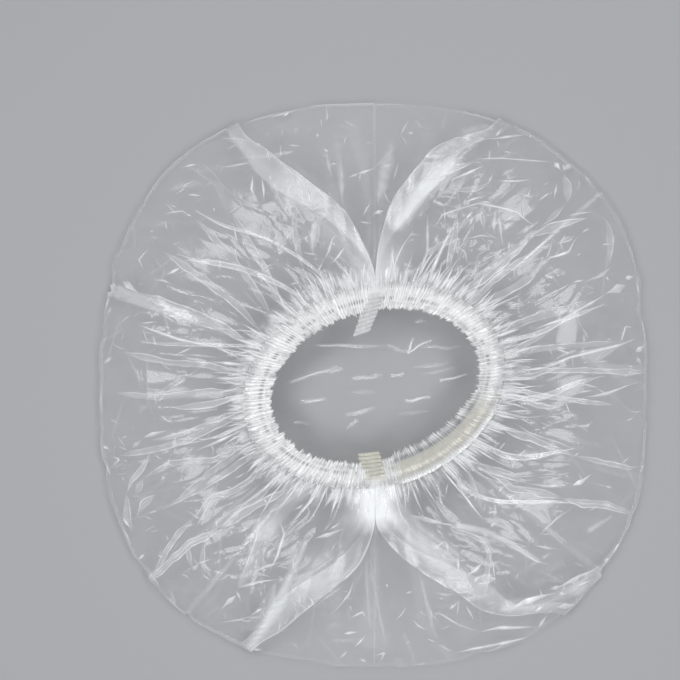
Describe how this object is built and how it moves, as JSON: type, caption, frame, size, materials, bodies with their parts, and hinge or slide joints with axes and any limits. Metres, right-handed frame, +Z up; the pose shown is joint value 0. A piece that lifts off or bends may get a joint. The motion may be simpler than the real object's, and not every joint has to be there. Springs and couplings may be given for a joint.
{
  "type": "shower cap",
  "caption": "Clear film shower cap with a gathered elastic hem, lying on its crown with the mouth up; the two sides of the mouth pull apart to go over a head.",
  "frame": {"origin": "on the surface that the cap lies on, under the middle of the crown", "axes": "+Z up out of the mouth, +Y towards the upper side seam, +X towards the right-hand panel"},
  "size_m": [0.436, 0.448, 0.0478],
  "materials": {
    "film": "gloss",
    "gathered_film": "satin",
    "elastic": "matte"
  },
  "bodies": {
    "seam": {"upper_seam_weld": "gathered_film", "lower_seam_weld": "gathered_film", "upper_seam_tab": "gathered_film", "lower_seam_tab": "gathered_film"},
    "left_side": {"left_upper_front_panel": "film", "left_lower_front_panel": "film", "left_crown_panel": "film", "left_hem": "gathered_film", "left_elastic": "elastic"},
    "right_side": {"right_upper_front_panel": "film", "right_lower_front_panel": "film", "right_crown_panel": "film", "right_hem": "gathered_film", "right_elastic": "elastic"}
  },
  "joints": [
    {"name": "left_pull", "type": "slide", "parent": "seam", "child": "left_side", "axis": [-1, 0, 0], "range_m": [0, 0.075], "stiffness_N_per_m": 30},
    {"name": "right_pull", "type": "slide", "parent": "seam", "child": "right_side", "axis": [1, 0, 0], "range_m": [0, 0.075], "stiffness_N_per_m": 30}
  ],
  "couplings": [
    {"joint": "right_pull", "follows": "left_pull", "ratio": 1}
  ]
}
